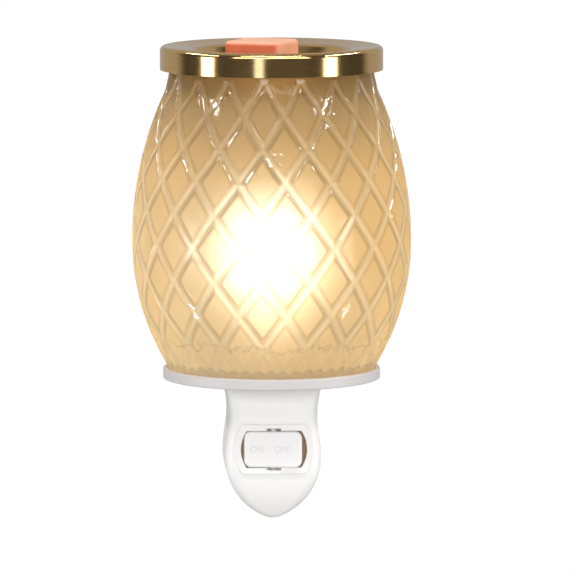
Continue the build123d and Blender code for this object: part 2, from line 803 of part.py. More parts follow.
def envelope(wall):
    """Half section of the bulb at a depth inside its glass: neck, swelling flank and round crown."""
    with BuildSketch(lamp_plane) as section:
        with BuildLine():
            Spline((neck_radius - wall, cap_top), (bulb_radius - wall, bulb_centre),
                   tangents=[(0, 1), (0, 1)])
            CenterArc((0, bulb_centre), bulb_radius - wall, 0, 90)
            Polyline((0, bulb_centre + bulb_radius - wall), (0, neck_foot + wall),
                     (neck_radius - wall, neck_foot + wall), (neck_radius - wall, cap_top))
        make_face()
    return section.sketch


with BuildPart() as bulb_glass:
    revolve(envelope(0), axis=lamp_axis)
    revolve(envelope(bulb_wall), axis=lamp_axis, mode=Mode.SUBTRACT)
bulb_glass.part.label = "bulb_glass"

stem_foot = neck_foot + bulb_wall
stem_top = stem_foot + stem_height
with BuildPart() as bulb_stem:
    with BuildSketch(Plane.XY.offset(stem_foot)):
        with Locations((0, -axis_depth)):
            Circle(stem_radius)
    with BuildSketch(Plane.XY.offset(stem_top)):
        with Locations((0, -axis_depth)):
            Circle(stem_top_radius)
    loft()
bulb_stem.part.label = "bulb_stem"

lead_top = bulb_centre - filament_drop
with BuildPart() as bulb_leads:
    for side in (-1, 1):
        with BuildLine() as lead:
            Polyline((side * lead_spread, -axis_depth, stem_top),
                     (side * lead_spread, -axis_depth, stem_top + lead_elbow),
                     (side * filament_half_width, -axis_depth, lead_top))
        with BuildSketch(Plane(lead.line @ 0, z_dir=lead.line % 0)):
            Circle(lead_radius)
        sweep(path=lead.line, transition=Transition.RIGHT)
bulb_leads.part.label = "bulb_leads"

with BuildPart() as bulb_filament:
    filament_end = filament_half_width - lead_radius - filament_gap
    with BuildLine(lamp_plane) as filament_line:
        ThreePointArc((-filament_end, lead_top), (0, lead_top + filament_arch), (filament_end, lead_top))
    with BuildSketch(Plane(filament_line.line @ 0, z_dir=filament_line.line % 0)):
        Circle(filament_radius)
    sweep(path=filament_line.line)
bulb_filament.part.label = "bulb_filament"

# Plug blades: the neutral one meets the inner ring, the live one has a foot out to the outer ring


def plug_blade(side, inner_end):
    """Flat blade with a hole near its bevelled tip, from its inner end to the tip."""
    with BuildPart() as blade:
        with BuildSketch(Plane.XZ.offset(inner_end)):
            with Locations((side * blade_pitch / 2, 0)):
                Rectangle(blade_thickness, blade_width)
        extrude(amount=-inner_end - blade_length)
        tip = blade.faces().sort_by(Axis.Y)[-1]
        chamfer(tip.edges().filter_by(Axis.X), blade_tip_chamfer)
        with BuildSketch(Plane.YZ.offset(side * blade_pitch / 2)):
            with Locations((blade_length - blade_hole_setback, 0)):
                Circle(blade_hole_radius)
        extrude(amount=blade_thickness, both=True, mode=Mode.SUBTRACT)
    return blade.part


foot_front = flange_front - blade_foot_setback
with BuildPart() as blade_neutral:
    add(plug_blade(1, flange_front))
blade_neutral.part.label = "blade_neutral"
with BuildPart() as blade_live:
    add(plug_blade(-1, foot_front))
    with BuildSketch(Plane.XZ.offset(foot_front)):
        with Locations((-(blade_foot_reach + blade_pitch / 2) / 2, 0)):
            Rectangle(blade_foot_reach - blade_pitch / 2, blade_width)
    extrude(amount=-blade_thickness)
    with BuildSketch(Plane.XZ.offset(flange_front)):
        with Locations((-blade_foot_reach + blade_foot_step / 2, 0)):
            Rectangle(blade_foot_step, blade_width)
    extrude(amount=-blade_foot_setback)
blade_live.part.label = "blade_live"

# Swivel plug: a boss in the housing's mouth, a flange behind its lip and a spigot in the contact block
with BuildPart() as swivel_plug:
    with BuildSketch(Plane.XZ.offset(plug_recess)):
        Circle(plug_boss_radius)
    extrude(amount=flange_back - plug_recess)
    with BuildSketch(Plane.XZ.offset(flange_back)):
        Circle(plug_flange_radius)
    extrude(amount=plug_flange)
    with BuildSketch(Plane.XZ.offset(flange_front)):
        Circle(spigot_radius)
    extrude(amount=spigot_length)
    add(blade_neutral.part, mode=Mode.SUBTRACT)
    add(blade_live.part, mode=Mode.SUBTRACT)
swivel_plug.part.label = "swivel_plug"


def contact_ring(inner_radius):
    """Flat brass ring on the inner face of the swivel plug."""
    with BuildPart() as ring:
        with BuildSketch(Plane.XZ.offset(flange_front)):
            Circle(inner_radius + ring_width)
            Circle(inner_radius, mode=Mode.SUBTRACT)
        extrude(amount=ring_sheet)
    return ring.part


with BuildPart() as contact_ring_neutral:
    add(contact_ring(inner_ring_radius))
contact_ring_neutral.part.label = "contact_ring_neutral"
with BuildPart() as contact_ring_live:
    add(contact_ring(outer_ring_radius))
contact_ring_live.part.label = "contact_ring_live"


def contact_finger(height, way):
    """Spring strip: a tail through the block, a foot on its face and a finger that arches to the ring."""
    crown = flange_front + ring_sheet + finger_gap + finger_sheet / 2
    foot = block_back - finger_sheet / 2
    with BuildPart() as finger:
        with BuildSketch(Plane.YZ):
            with BuildLine():
                FilletPolyline(
                    (-block_front - finger_tail, height + way * finger_run), (-foot, height + way * finger_run),
                    (-foot, height + way * finger_run / 2), (-crown, height),
                    (-foot, height - way * finger_run / 2), radius=finger_bend)
            trace(line_width=finger_sheet)
        extrude(amount=finger_width / 2, both=True)
    return finger.part


finger_live_height = outer_ring_radius + ring_width / 2
finger_neutral_height = -inner_ring_radius - ring_width / 2
with BuildPart() as contact_spring_live:
    add(contact_finger(finger_live_height, -1))
contact_spring_live.part.label = "contact_spring_live"
with BuildPart() as contact_spring_neutral:
    add(contact_finger(finger_neutral_height, -1))
contact_spring_neutral.part.label = "contact_spring_neutral"

# Contact block: a disc on the shoulder of the barrel, bored for the spigot and slotted for the springs
with BuildPart() as contact_block:
    with BuildSketch(Plane.XZ.offset(block_back)):
        Circle(barrel_bore - block_fit)
        Circle(spigot_radius + running_fit, mode=Mode.SUBTRACT)
    extrude(amount=block_thickness)
    add(contact_spring_live.part, mode=Mode.SUBTRACT)
    add(contact_spring_neutral.part, mode=Mode.SUBTRACT)
contact_block.part.label = "contact_block"


def insulated_wire(*points):
    """Wire along straight runs with round bends."""
    with BuildPart() as wire:
        with BuildLine() as route:
            FilletPolyline(*points, radius=wire_bend)
        with BuildSketch(Plane(route.line @ 0, z_dir=route.line % 0)):
            Circle(wire_radius)
        sweep(path=route.line)
    return wire.part


tail_front = block_front + finger_tail
spring_tail_live = finger_live_height - finger_run
spring_tail_neutral = finger_neutral_height - finger_run
with BuildPart() as wire_live:
    add(insulated_wire(
        (0, -tail_front, spring_tail_live), (0, -tail_front - live_wire_run, spring_tail_live),
        (0, -rear_depth, 0), (0, -tail_depth, 0)))
wire_live.part.label = "wire_live"
loop_depth = tail_depth - switched_wire_loop
with BuildPart() as wire_switched:
    add(insulated_wire(
        (terminal_reach, -tail_depth, 0), (terminal_reach, -loop_depth, 0),
        (tab_side, -loop_depth, socket_foot / 2), (tab_side, -axis_depth, socket_foot / 2),
        (tab_side, -axis_depth, socket_foot - tail_length)))
wire_switched.part.label = "wire_switched"
shell_tail = shell_sheet - shell_radius
run_end = tail_front + neutral_wire_run
with BuildPart() as wire_neutral:
    add(insulated_wire(
        (0, -tail_front, spring_tail_neutral), (0, -run_end, spring_tail_neutral),
        (shell_tail, -run_end - neutral_wire_slope, -neutral_wire_sag),
        (shell_tail, neutral_wire_slope - axis_depth, -neutral_wire_sag),
        (shell_tail, -axis_depth, 0), (shell_tail, -axis_depth, socket_foot - tail_length)))
wire_neutral.part.label = "wire_neutral"

pieces = [
    glass_shade, shade_seal, wax_dish, wax_cube, base_tray, tray_screws, front_shell, rear_shell,
    shell_screws, switch_bezel, switch_case, switch_rocker, switch_plunger, switch_spring, switch_seesaw,
    switch_terminal_line, switch_terminal_load, socket_body, socket_screw_shell, socket_centre_tab,
    bulb_glass, bulb_cap, bulb_insulator, bulb_tip_contact, bulb_stem, bulb_leads, bulb_filament,
    swivel_plug, blade_live, blade_neutral, contact_ring_live, contact_ring_neutral, contact_block,
    contact_spring_live, contact_spring_neutral, wire_live, wire_switched, wire_neutral]
os.makedirs("parts", exist_ok=True)
for piece in pieces:
    export_step(piece.part, f"parts/{piece.part.label}.step")
print(len(pieces), "pieces written")
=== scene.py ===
# %% [markdown]
# # A plug-in wax melt warmer
# The warmer hangs on a wall outlet by its plug. A lamp stands in a barrel of moulded champagne glass
# and warms a metal dish on the rim, in which a cube of scented wax melts. A teardrop housing under
# the tray holds the lamp holder, the rocker switch and the swivel plug.
#
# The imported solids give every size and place. This script dresses them: it makes the glass anew with
# its fine lattice, gives each piece its material, and sets up a plain studio. Lengths are in metres,
# z is up, and y grows from the camera towards the wall.

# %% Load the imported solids
from math import cos, pi, radians, sin, tan

import bpy
import numpy as np
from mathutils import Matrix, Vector


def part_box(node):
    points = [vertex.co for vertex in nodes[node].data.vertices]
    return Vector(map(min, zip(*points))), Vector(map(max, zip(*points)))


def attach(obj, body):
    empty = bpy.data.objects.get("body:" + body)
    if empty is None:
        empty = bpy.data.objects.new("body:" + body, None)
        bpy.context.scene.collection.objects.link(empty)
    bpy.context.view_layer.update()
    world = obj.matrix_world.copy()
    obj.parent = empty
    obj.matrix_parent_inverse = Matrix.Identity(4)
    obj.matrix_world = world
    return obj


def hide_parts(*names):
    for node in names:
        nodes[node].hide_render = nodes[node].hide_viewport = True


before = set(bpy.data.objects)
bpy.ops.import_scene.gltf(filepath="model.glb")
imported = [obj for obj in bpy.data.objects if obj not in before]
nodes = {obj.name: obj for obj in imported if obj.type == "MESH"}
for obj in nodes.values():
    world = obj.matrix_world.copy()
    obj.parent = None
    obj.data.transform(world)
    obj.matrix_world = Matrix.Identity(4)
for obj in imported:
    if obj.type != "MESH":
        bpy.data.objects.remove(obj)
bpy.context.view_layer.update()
print(len(nodes), "solids loaded")

# %% [markdown]
# ## Shader sums as plain Python
# A material is a small program: it works out colour and relief from the place on the surface. It
# could be wired by hand in the shader editor, but dozens of Math nodes are hard to read there. This
# class wraps a socket instead, so that a sum in Python adds the Math nodes behind it.

# %% A number on a surface


class Value:
    """A number or vector that changes over a surface. Python arithmetic on it adds Math nodes."""

    def __init__(self, tree, socket):
        self.tree, self.socket = tree, socket

    def math(self, operation, *others, clamp=False):
        """A Math node on this value and the others."""
        return self.tree.math(operation, self, *others, clamp=clamp)

    def __add__(self, other):
        return self.math("ADD", other)

    def __sub__(self, other):
        return self.math("SUBTRACT", other)

    def __rsub__(self, other):
        return self.tree.math("SUBTRACT", other, self)

    def __mul__(self, other):
        return self.math("MULTIPLY", other)

    def __truediv__(self, other):
        return self.math("DIVIDE", other)

    def __rtruediv__(self, other):
        return self.tree.math("DIVIDE", other, self)

    __radd__ = __add__
    __rmul__ = __mul__

    def step(self, low, high):
        """0 below low, 1 above high and a soft S between them."""
        share = ((self - low) / (high - low)).math("ADD", 0.0, clamp=True)
        return share * share * (3 - 2 * share)


print("sums on sockets ready")

# %% [markdown]
# ## Materials from few words
# A material and the world are both trees of nodes. This class adds any node by its type, its settings
# and the values of its sockets, and its short methods name the nodes that come up often.

# %% A tree of nodes


class Nodes:
    """The node tree of a material or of the world, put together from values."""

    def __init__(self, owner, output="ShaderNodeOutputMaterial"):
        owner.use_nodes = True
        self.owner, self.tree = owner, owner.node_tree
        self.tree.nodes.clear()
        self.output = self.node(output)

    def node(self, kind, settings=None, inputs=None):
        """Adds a node: its type, then its settings, then the values or links of its sockets."""
        node = self.tree.nodes.new(kind)
        for key, setting in (settings or {}).items():
            setattr(node, key, setting)
        for key, given in (inputs or {}).items():
            socket = node.inputs[key]
            if isinstance(given, Value):
                self.tree.links.new(given.socket, socket)
            elif isinstance(given, tuple) and len(given) == 3 and socket.type == "RGBA":
                socket.default_value = (*given, 1)
            else:
                socket.default_value = given
        return node

    def value(self, node, output=0):
        return Value(self, node.outputs[output])

    def math(self, operation, *numbers, clamp=False):
        settings = {"operation": operation, "use_clamp": clamp}
        return self.value(self.node("ShaderNodeMath", settings, dict(enumerate(numbers))))

    def here(self):
        """The point's own place in metres, which turns with the piece."""
        return self.value(self.node("ShaderNodeTexCoord"), "Object")

    def split(self, vector):
        """The x, y and z of a vector."""
        node = self.node("ShaderNodeSeparateXYZ", inputs={0: vector})
        return [self.value(node, axis) for axis in range(3)]

    def vector(self, x, y, z):
        return self.value(self.node("ShaderNodeCombineXYZ", inputs={0: x, 1: y, 2: z}))

    def noise(self, where, scale, detail=3.0, roughness=0.5):
        """Cloudy noise between 0 and 1, with about scale lumps in a metre."""
        return self.value(self.node("ShaderNodeTexNoise", inputs={
            "Vector": where, "Scale": scale, "Detail": detail, "Roughness": roughness}))

    def blend(self, share, first, second):
        """A colour between two colours."""
        node = self.node("ShaderNodeMix", {"data_type": "RGBA"}, {0: share, 6: first, 7: second})
        return self.value(node, 2)

    def bump(self, height, depth, strength=1.0):
        """Relief for a Normal socket: height times depth is how far the surface seems raised."""
        return self.value(self.node("ShaderNodeBump", inputs={
            "Height": height, "Distance": depth, "Strength": strength}))

    def shader(self, kind, **inputs):
        """A shader by its type. An underscore in a socket's name stands for its space."""
        sockets = {key.replace("_", " "): given for key, given in inputs.items()}
        return self.value(self.node(kind, inputs=sockets))

    def principled(self, **inputs):
        return self.shader("ShaderNodeBsdfPrincipled", **inputs)

    def mix(self, share, first, second):
        """Two shaders laid over each other: share is the part of the second one."""
        return self.value(self.node("ShaderNodeMixShader", inputs={0: share, 1: first, 2: second}))

    def finish(self, surface):
        self.tree.links.new(surface.socket, self.output.inputs["Surface"])
        return self.owner


def material(name):
    return Nodes(bpy.data.materials.new(name))


def dress(finish, *names):
    """Gives one material to the solids with these names."""
    for name in names:
        nodes[name].data.materials.clear()
        nodes[name].data.materials.append(finish)


WHITE = (1.0, 1.0, 1.0)
print("materials ready")

# %% [markdown]
# ## The form of the glass
# The real shade is pressed or blown into a mould: two arcs that meet at the belly, and a straight
# neck that goes up into the dish. The mould's lattice has 18 diamonds round and 9 staggered rows.
# The outside follows the arcs, with shallow channels between the pads.
#
# The solid has the same form with plain pads. The sizes here repeat its measures, and its own foot
# and rim give the place.

# %% Sizes of the glass, in metres
AXIS = -0.054  # the lamp's axis stands at x = 0 and this y
FOOT, RIM = (corner.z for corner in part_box("glass_shade"))
BELLY, NECK = FOOT + 0.047, FOOT + 0.1014
BELLY_RADIUS, RIM_RADIUS = 0.0502, 0.0351
LOWER_ARC, UPPER_ARC = 0.086, 0.128
WALL = 0.003
RIM_ROUND = 0.0013
print("glass from", round(FOOT, 4), "to", round(RIM, 4), "m")

# %% Sizes of the lattice
LATTICE_FOOT, LATTICE_TOP = FOOT + 0.0013, FOOT + 0.1066
ROWS, COLUMNS = 9, 18
TURN = radians(3.2)  # how far the first column stands from the middle of the front
ROW = (LATTICE_TOP - LATTICE_FOOT) / ROWS
HALF_COLUMN = pi / COLUMNS
CHANNEL, SLOPE, DEPTH = 0.0040, 0.0012, 0.00015
PITCH = 2 * ROW * BELLY_RADIUS * HALF_COLUMN / np.hypot(ROW, BELLY_RADIUS * HALF_COLUMN)
print("lattice pitch across the channels", round(PITCH * 1000, 2), "mm")

# %% [markdown]
# ## Profile and channels as functions
# A pattern of this kind could be sculpted or cut with curves. As a function of angle and height it
# closes round the barrel by itself and follows the curve. The distance to a line of the lattice is
# the distance of a number from the nearest whole number.

# %% Radius and channel depth


def barrel_radius(height):
    """Radius of the mould at each height.

    Below and above the belly it is the belly's radius, less the arc's radius, plus the root of the
    arc's radius squared less the height from the belly squared. In the neck it goes straight to the
    rim's radius.
    """
    height = np.asarray(height, float)
    curve = np.where(height > BELLY, UPPER_ARC, LOWER_ARC)
    arc = BELLY_RADIUS - curve + np.sqrt(curve**2 - (np.minimum(height, NECK) - BELLY) ** 2)
    share = np.clip((height - NECK) / (RIM - NECK), 0, 1)
    return arc * (1 - share) + RIM_RADIUS * share


def channel_depth(angle, height):
    """Depth of the channels at each angle and height.

    Row less column and row plus column, halved, are whole numbers on the two families of lines. The
    smaller of the two distances, with its corners rounded, gives a soft step from channel to pad.
    """
    column = (angle - TURN) / HALF_COLUMN
    row = (height - LATTICE_FOOT) / ROW
    away = [np.abs(line - np.round(line)) * PITCH for line in ((row - column) / 2, (row + column) / 2)]
    corner = 0.0006
    near = -corner * np.log(np.exp(-away[0] / corner) + np.exp(-away[1] / corner))
    share = np.clip((near - CHANNEL / 2 + SLOPE) / SLOPE, 0, 1)
    pad = share**2 * (3 - 2 * share)
    ends = np.clip((row - 0.3) / 0.5, 0, 1) * np.clip((ROWS + 0.1 - row) / 0.1, 0, 1)
    return DEPTH * (1 - pad) * ends


print("radius at the belly", round(float(barrel_radius(BELLY)), 4), "m")

# %% [markdown]
# ## From a grid to a piece
# A profile that is turned round the axis gives a grid of points. The last row joins the first one,
# and the last column joins the first, so the wall is closed and has no seam.

# %% Grid and mesh helpers


def ring_grid(radii, heights, angles):
    """Points and faces of a closed wall: x is radius times sine, y is AXIS less radius times cosine."""
    rows, columns = radii.shape
    points = np.empty((rows, columns, 3))
    points[..., 0] = radii * np.sin(angles)
    points[..., 1] = AXIS - radii * np.cos(angles)
    points[..., 2] = heights
    row, column = np.meshgrid(np.arange(rows), np.arange(columns), indexing="ij")
    after, above = (column + 1) % columns, (row + 1) % rows
    faces = np.stack([row * columns + column, row * columns + after,
                      above * columns + after, above * columns + column], -1)
    return points.reshape(-1, 3), faces.reshape(-1, 4)


def add_object(name, data):
    """Puts a mesh, a light or a camera into the scene."""
    added = bpy.data.objects.new(name, data)
    bpy.context.scene.collection.objects.link(added)
    return added


def make_mesh(name, points, faces, body):
    """A smooth piece from arrays of points and faces."""
    mesh = bpy.data.meshes.new(name)
    mesh.from_pydata(points.tolist(), [], faces.tolist())
    mesh.polygons.foreach_set("use_smooth", np.full(len(faces), True))
    mesh.update()
    piece = add_object(name, mesh)
    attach(piece, body)
    return piece


print("grid helpers ready")

# %% [markdown]
# ## The glass shade
# The grid runs up the outside, over the rounded rim and down the inside. Its steps divide each half
# diamond into equal parts, so that both families of channels run exactly along the grid's diagonals
# and show no stairs.

# %% Make the glass shade
STEPS = 15  # steps of the grid in each row and in each half column
SHOULDER = RIM - RIM_ROUND
angles = TURN + np.arange(COLUMNS * 2 * STEPS) * HALF_COLUMN / STEPS
outside = np.concatenate([
    np.linspace(FOOT, LATTICE_FOOT, 4)[:-1],
    LATTICE_FOOT + np.arange(ROWS * STEPS + 1) * ROW / STEPS,
    np.linspace(LATTICE_TOP, SHOULDER, 8)[1:]])
inside = np.linspace(SHOULDER, FOOT, 14)
turn = np.linspace(0, pi, 9)[1:-1]
rim_middle = barrel_radius(SHOULDER) - WALL / 2
outer = barrel_radius(outside)[:, None] - channel_depth(angles[None, :], outside[:, None])
rim = np.repeat((rim_middle + WALL / 2 * np.cos(turn))[:, None], len(angles), 1)
inner = np.repeat((barrel_radius(inside) - WALL)[:, None], len(angles), 1)
radii = np.concatenate([outer, rim, inner])
heights = np.concatenate([outside, SHOULDER + RIM_ROUND * np.sin(turn), inside])
points, faces = ring_grid(radii, np.repeat(heights[:, None], len(angles), 1), angles[None, :])
shade = make_mesh("moulded_glass_shade", points, faces, "housing")
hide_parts("glass_shade")
print("glass shade", len(faces) * 2, "triangles")

# %% Two materials on the glass
is_inner = np.repeat(np.arange(len(heights)) >= len(outside) + len(turn) - 1, len(angles))
shade.data.materials.append(None)
shade.data.materials.append(None)
shade.data.polygons.foreach_set("material_index", is_inner.astype(np.int32))
print(int(is_inner.sum()), "faces lie on the inside")

# %% [markdown]
# ## Champagne glass: where the lattice runs
# The real glass is tinted, frosted and lit from inside. A plain glass material would show the bulb
# sharply and leave the rest dark, so the finish is built up in layers, and each layer follows the
# lattice. The same sums as for the mesh give the distance to the nearest line, now on the surface.

# %% The lattice in the material
glass = material("champagne_glass")
here = glass.here()
x, y, z = glass.split(here)
up = z - FOOT
angle = x.math("ARCTAN2", AXIS - y)
column = (angle - TURN) / HALF_COLUMN
row = (z - LATTICE_FOOT) / ROW
away = []
for line in ((row - column) / 2, (row + column) / 2):
    away.append((line - line.math("ROUND")).math("ABSOLUTE") * PITCH)
near = away[0].math("SMOOTH_MIN", away[1], 0.0016)
ends = (0.15 + 0.85 * row.step(0.6, 1.4)) * (ROWS + 0.1 - row).step(0.0, 0.1)
pad = near.step(CHANNEL / 2 - 0.0011, CHANNEL / 2 + 0.0001)
band = (1 - pad) * ends
rib = (1 - near.step(0.0, 0.0023)) * ends
print("lattice from", len(glass.tree.nodes), "nodes")

# %% [markdown]
# ## Relief of the glass
# Each channel has a rounded rib inside it, which bends the light. Near the foot the glass cooled
# unevenly in its mould: it has wrinkles, a wavy crease and a scalloped seam. All of it is too fine
# for the mesh, so one Bump node carries it.

# %% Ribs, wrinkles, crease and seam
wave = glass.noise(here, 160.0, 3.0, 0.6)
crease = 1 - (up - 0.0128 + (wave - 0.5) * 0.016).math("ABSOLUTE").step(0.0001, 0.0008)
crease = crease * wave.step(0.36, 0.5) * (1 - (up - 0.0135).math("ABSOLUTE").step(0.004, 0.008))
scallop = (angle * (1.5 * COLUMNS)).math("SINE").math("ABSOLUTE")
seam = 1 - (up - 0.0028 - scallop * 0.0013 - (wave - 0.5) * 0.003).step(0.0, 0.0007)
wrinkle = wave * (1 - up.step(0.014, 0.024)) * 0.6 - crease * 0.3 - seam * 0.3
relief = glass.bump(rib + wrinkle, 0.0020)
print("relief from", len(glass.tree.nodes), "nodes")

# %% [markdown]
# ## Milky wall
# The frosted inside spreads the lamp's light, so the whole barrel glows. A Translucent shader does that.
# Its colour is painted light and shade: paler at the left, at the foot and on the ribs, where the glow is
# painted brighter, and deeper gold at the right and the top, where shade is painted. The colours are
# shaders of their own, and Mix Shaders lay them over each other.

# %% Milk in five tones


def milky(colour):
    """A milky wall of one colour, which spreads the light that comes from behind it."""
    return glass.shader("ShaderNodeBsdfTranslucent", Color=colour, Normal=relief)


# Painted light and shade: the pale tones paint a brighter glow, the gold tones paint shade.
pale_left, gold_right = milky((1.0, 0.79, 0.50)), milky((0.98, 0.68, 0.29))
pale_foot, gold_top = milky((1.0, 0.80, 0.47)), milky((0.98, 0.62, 0.20))
painted_lit_rib = milky((1.0, 0.86, 0.64))
warm = x.step(-0.028, 0.004).math("MAXIMUM", up.step(0.050, 0.085))
high = up.step(0.060, 0.100)
milk = glass.mix(warm, pale_left, gold_right)
milk = glass.mix(up.step(0.008, 0.055), pale_foot, milk)
milk = glass.mix(high * 0.7, milk, gold_top)
milk = glass.mix(rib * (1 - high * 0.6), milk, painted_lit_rib)
print("milk from", len(glass.tree.nodes), "nodes")

# %% [markdown]
# ## Painted shade in the wall, and its matt skin
# The real wall looks darker at its edges, where the light crosses more of it, and under the dish. A deep
# brown is painted in there as shade, also at the right, and a little of it in the crease and the seam.
# Over it lies a matt skin that takes the light of the room. Its share is smaller at the left, so that the
# glow is painted brighter there.

# %% Painted shade in the wall and its matt skin
SKIN_SHARE, SKIN_SLOPE = 0.24, 2.2  # the skin's part on the axis, and its growth for a metre to the right
side = x.math("ABSOLUTE")
cloud = glass.noise(here, 38.0, 2.0)
painted_shade_brown = milky((0.16, 0.09, 0.035))
# Painted shade: the share of deep brown grows at the top, at the edges and at the right.
painted_shade_share = up.step(0.069, 0.110) * (0.82 + side.step(0.0, 0.030) * 0.22)
painted_shade_share = painted_shade_share + high * x.step(0.0, 0.030) * 0.09
painted_shade_share = painted_shade_share + side.step(0.036, 0.050) * 0.28 + x.step(0.030, 0.050) * 0.04
foot_tone = crease * 0.24 + seam * 0.5
spread = glass.mix(painted_shade_share * (1 - band * 0.25) + cloud * 0.05 + foot_tone, milk, painted_shade_brown)
skin = glass.principled(
    Base_Color=glass.blend(band, (0.46, 0.28, 0.10), (0.58, 0.39, 0.18)),
    Roughness=0.5, Specular_IOR_Level=0.0, Normal=relief)
# The skin's share grows to the right, so the glow is painted brighter at the left.
body = glass.mix(SKIN_SHARE + x * SKIN_SLOPE, spread, skin)
print("wall from", len(glass.tree.nodes), "nodes")

# %% [markdown]
# ## The lamp seen through the frost
# A part of the light goes nearly straight on. Two rough see-through layers let the lamp show: a wide
# golden halo and a narrower, bluish-white core. Their shares are painted: both are weaker under the neck,
# as painted shade under the dish, and the core is painted weaker at the right and near the edges. A thin
# amber line goes round each pad.

# %% Halo, core and outlines
HALO_SHARE, CORE_SHARE, AMBER_SHARE = 0.40, 0.21, 0.30
halo = glass.principled(Base_Color=(1.0, 0.78, 0.38), Roughness=0.93, IOR=1.35,
                        Transmission_Weight=1.0, Normal=relief)
core = glass.principled(Base_Color=(0.60, 0.76, 1.0), Roughness=0.80, IOR=1.25,
                        Transmission_Weight=1.0, Normal=relief)
amber = milky((0.50, 0.30, 0.12))
# Painted shade under the neck, and a painted hot spot that fades to the right and to the edges.
painted_neck_shade = 1 - z.step(NECK - 0.006, NECK + 0.003) * 0.5
painted_core_spot = (1 - x.step(-0.020, 0.030) * 0.45) * (1 - side.step(0.025, 0.045) * 0.6)
outline = near.step(0.0010, 0.0018) * (1 - near.step(0.0020, 0.0030)) * ends
body = glass.mix(painted_neck_shade * HALO_SHARE, body, halo)
body = glass.mix(painted_core_spot * painted_neck_shade * (1 - high * 0.6) * CORE_SHARE, body, core)
body = glass.mix(outline * AMBER_SHARE, body, amber)
print("see-through layers from", len(glass.tree.nodes), "nodes")

# %% [markdown]
# ## Polished outside
# The outside is smooth and mirrors the lamps of the studio, most of all in the channels. The share of
# mirror follows Fresnel's law, which gives more of it at a flat angle, and is kept under a limit. The
# pads' edges and a slow ripple bend the mirrored lights into short strokes.
#
# The mesh has a wall with two sides, but the layers already stand for the whole wall, so the inside
# is left quite clear.

# %% Gloss, and the inner side
MIRROR_LIMIT = 0.20
ripple = glass.noise(here, 130.0, 1.5)
polish = glass.bump(pad * ends + ripple * 1.1, 0.0004)
gloss = glass.shader("ShaderNodeBsdfAnisotropic", Color=WHITE, Roughness=0.04, Normal=polish)
fresnel = glass.value(glass.node("ShaderNodeFresnel", inputs={"IOR": 1.5}))
mirror = fresnel.math("MINIMUM", MIRROR_LIMIT)
in_channel = 1 - near.step(CHANNEL / 2 - 0.0002, CHANNEL / 2 + 0.0007)
gloss_share = mirror * (0.3 + 0.7 * in_channel)
shade.data.materials[0] = glass.finish(glass.mix(gloss_share, body, gloss))
clear = material("frosted_inner_wall")
clear_shader = clear.shader("ShaderNodeBsdfTransparent", Color=WHITE)
shade.data.materials[1] = clear.finish(clear_shader)
print("glass material has", len(glass.tree.nodes), "nodes")

# %% [markdown]
# ## Brushed brass dish
# The dish is pressed from sheet and brushed on a lathe, so its fine lines run round the axis. Noise
# that is long round the circle and short across it gives these lines, as relief and as roughness.
# An anisotropic gloss could stand for them too, but it needs a tangent and shows no single line.

# %% Brushed brass


def brushed(name, colour, dark):
    """Metal with about 2600 lines in a metre, from noise in radius, height and angle."""
    lines, roughness = 2600.0, 0.12
    brass = material(name)
    here = brass.here()
    x, y, z = brass.split(here)
    out = (x * x + (y - AXIS) * (y - AXIS)).math("SQRT")
    angle = x.math("ARCTAN2", AXIS - y)
    scratch = brass.noise(brass.vector(out * lines, z * lines, angle * 5.0), 1.0, 3.0, 0.7)
    cloud = brass.noise(here, 60.0, 2.0)
    return brass.finish(brass.principled(
        Base_Color=brass.blend((scratch - 0.5) * 1.6 + 0.35 + cloud * 0.3, dark, colour),
        Metallic=1.0, Roughness=roughness + (scratch - 0.5) * 0.1,
        Normal=brass.bump(scratch, 0.00001, 0.9)))


dress(brushed("brushed_brass", (0.85, 0.57, 0.25), (0.62, 0.38, 0.14)), "wax_dish")
print("brass dish dressed")

# %% [markdown]
# ## Wax cube
# A cast cube of coral wax. Light goes a little way into it, which a small share of subsurface scattering
# shows, and its skin has faint flow marks. Its right face and its top are painted paler, as painted
# light, so a mask finds them: the distance from the middle along the turned cube, and the height.

# %% Coral wax
WAX_X, WAX_TURN = -0.0035, radians(-24)
WAX_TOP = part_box("wax_cube")[1].z
wax = material("coral_wax")
here = wax.here()
x, y, z = wax.split(here)
flow = wax.noise(here, 140.0, 4.0, 0.6)
to_right = (x - WAX_X) * cos(WAX_TURN) + (y - AXIS) * sin(WAX_TURN)
# Painted light: the right face and the top are painted paler.
painted_light_faces = to_right.step(0.0085, 0.0115).math("MAXIMUM", (z - WAX_TOP).step(-0.0016, -0.0002))
painted_light_faces = (painted_light_faces * (0.75 + flow * 0.5)).math("MINIMUM", 1.0)
coral = wax.blend(flow, (0.58, 0.115, 0.045), (0.70, 0.17, 0.075))
dress(wax.finish(wax.principled(
    Base_Color=wax.blend(painted_light_faces, coral, (1.0, 0.50, 0.32)), Roughness=0.42 + flow * 0.2,
    Subsurface_Weight=0.15, Subsurface_Radius=(0.004, 0.0018, 0.001), Subsurface_Scale=1.0,
    Normal=wax.bump(flow, 0.0002, 0.5))), "wax_cube")
print("wax dressed")

# %% [markdown]
# ## Plastic mouldings
# Moulded plastic has a faint grain from the spark-worn mould, and its gloss varies a little. One function
# makes them all. Two pieces ask for more: the rocker's right end rolls over more than its solid does,
# which a slope in the relief shows, and the switch case has a faint painted glow, which stands for the
# lamp's light that comes through the thin housing.

# %% How a plastic is made
GRAIN, GRAIN_DEPTH = 900.0, 0.00002  # grains in a metre, and their height
ROLL_START, ROLL_END = 0.0070, 0.0106  # x of the rocker's end


